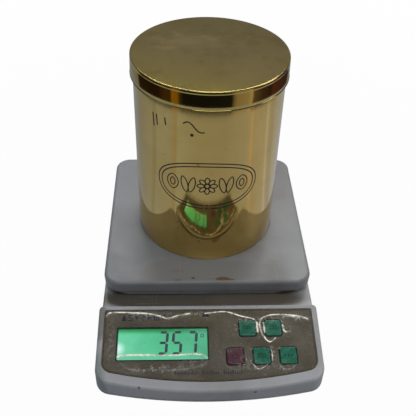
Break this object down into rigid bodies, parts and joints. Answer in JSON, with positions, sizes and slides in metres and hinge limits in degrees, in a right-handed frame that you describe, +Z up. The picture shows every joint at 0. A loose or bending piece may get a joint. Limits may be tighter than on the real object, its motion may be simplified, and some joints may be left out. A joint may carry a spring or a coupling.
{
  "type": "electronic kitchen scale with brass canister",
  "caption": "Flat electronic weighing scale with a square tray, sloping lit display console and keys, holding a round lidded brass storage canister.",
  "frame": {"origin": "middle of the footprint, on the surface that the feet stand on", "axes": "+Z up; -Y is the front, towards the user and the display; +X to the user's right"},
  "size_m": [0.1696, 0.247, 0.2017],
  "materials": {
    "white_abs": "satin moulded ABS, grimy at the edges",
    "foot_rubber": "matt",
    "printed_overlay": "olive-brown printed sheet under a glossy, creased film",
    "clear_lens": "clear, polished",
    "lcd_cell": "lit green, dark segments",
    "lcd_backlight": "green diffuser",
    "green_key": "semi-gloss moulded",
    "plum_key": "semi-gloss moulded",
    "pcb_laminate": "green solder mask",
    "black_plastic": "moulded, matt",
    "load_cell_aluminium": "milled",
    "zinc_steel": "zinc plated",
    "battery_jacket": "plain printed jacket",
    "lead_grey": "PVC sleeve",
    "lead_red": "PVC sleeve",
    "polished_brass": "polished sheet, slightly tarnished"
  },
  "bodies": {
    "base": {"upper_housing": "white_abs", "lower_housing": "white_abs", "foot_rear_right": "foot_rubber", "foot_rear_left": "foot_rubber", "foot_front_left": "foot_rubber", "foot_front_right": "foot_rubber", "panel_overlay": "printed_overlay", "lcd_lens": "clear_lens", "panel_film": "clear_lens", "lcd_glass": "lcd_cell", "lcd_backlight": "lcd_backlight", "main_pcb": "pcb_laminate", "key_switch_1": "black_plastic", "key_switch_2": "black_plastic", "key_switch_3": "black_plastic", "key_switch_4": "black_plastic", "key_switch_5": "black_plastic", "dc_jack": "black_plastic", "load_cell": "load_cell_aluminium", "pcb_screw_1": "zinc_steel", "pcb_screw_2": "zinc_steel", "pcb_screw_3": "zinc_steel", "pcb_screw_4": "zinc_steel", "housing_screw_1": "zinc_steel", "housing_screw_2": "zinc_steel", "housing_screw_3": "zinc_steel", "housing_screw_4": "zinc_steel", "load_cell_screw_1": "zinc_steel", "load_cell_screw_2": "zinc_steel", "overload_stop_screw": "zinc_steel", "battery_contact_1": "zinc_steel", "battery_contact_2": "zinc_steel", "battery_spring_1": "zinc_steel", "battery_spring_2": "zinc_steel", "battery_1": "battery_jacket", "battery_2": "battery_jacket", "load_cell_lead": "lead_grey", "battery_lead": "lead_red"},
    "platform": {"platform_tray": "white_abs", "platform_bracket": "black_plastic", "bracket_screw_1": "zinc_steel", "bracket_screw_2": "zinc_steel", "tray_screw_1": "zinc_steel", "tray_screw_2": "zinc_steel", "tray_screw_3": "zinc_steel", "tray_screw_4": "zinc_steel"},
    "key_power_cap": {"key_power": "plum_key"},
    "key_units_cap": {"key_units": "green_key"},
    "key_count_cap": {"key_count": "green_key"},
    "key_mode_cap": {"key_mode": "green_key"},
    "key_tare_cap": {"key_tare": "green_key"},
    "battery_door_body": {"battery_door": "white_abs"},
    "canister": {"canister_wall": "polished_brass", "canister_bottom": "polished_brass"},
    "lid": {"canister_lid": "polished_brass"}
  },
  "joints": [
    {"name": "platform_travel", "type": "slide", "parent": "base", "child": "platform", "axis": [0, 0, -1], "range_m": [0, 0.00025], "stiffness_N_per_m": 50000, "springref_m": -0.0001},
    {"name": "key_power_press", "type": "slide", "parent": "base", "child": "key_power_cap", "axis": [0, 0.212, -0.9773], "range_m": [0, 0.0009], "stiffness_N_per_m": 1000, "springref_m": -0.0002},
    {"name": "key_units_press", "type": "slide", "parent": "base", "child": "key_units_cap", "axis": [0, 0.212, -0.9773], "range_m": [0, 0.0009], "stiffness_N_per_m": 1000, "springref_m": -0.0002},
    {"name": "key_count_press", "type": "slide", "parent": "base", "child": "key_count_cap", "axis": [0, 0.212, -0.9773], "range_m": [0, 0.0009], "stiffness_N_per_m": 1000, "springref_m": -0.0002},
    {"name": "key_mode_press", "type": "slide", "parent": "base", "child": "key_mode_cap", "axis": [0, 0.212, -0.9773], "range_m": [0, 0.0009], "stiffness_N_per_m": 1000, "springref_m": -0.0002},
    {"name": "key_tare_press", "type": "slide", "parent": "base", "child": "key_tare_cap", "axis": [0, 0.212, -0.9773], "range_m": [0, 0.0009], "stiffness_N_per_m": 1000, "springref_m": -0.0002},
    {"name": "battery_door_swing", "type": "hinge", "parent": "base", "child": "battery_door_body", "pos_m": [-0.048, 0.0397, 0.0042], "axis": [1, 0, 0], "range_deg": [0, 100]},
    {"name": "canister_lift", "type": "slide", "parent": "platform", "child": "canister", "axis": [0, 0, 1], "range_m": [0, 0.12]},
    {"name": "lid_lift", "type": "slide", "parent": "canister", "child": "lid", "axis": [0, 0, 1], "range_m": [0, 0.06]}
  ]
}
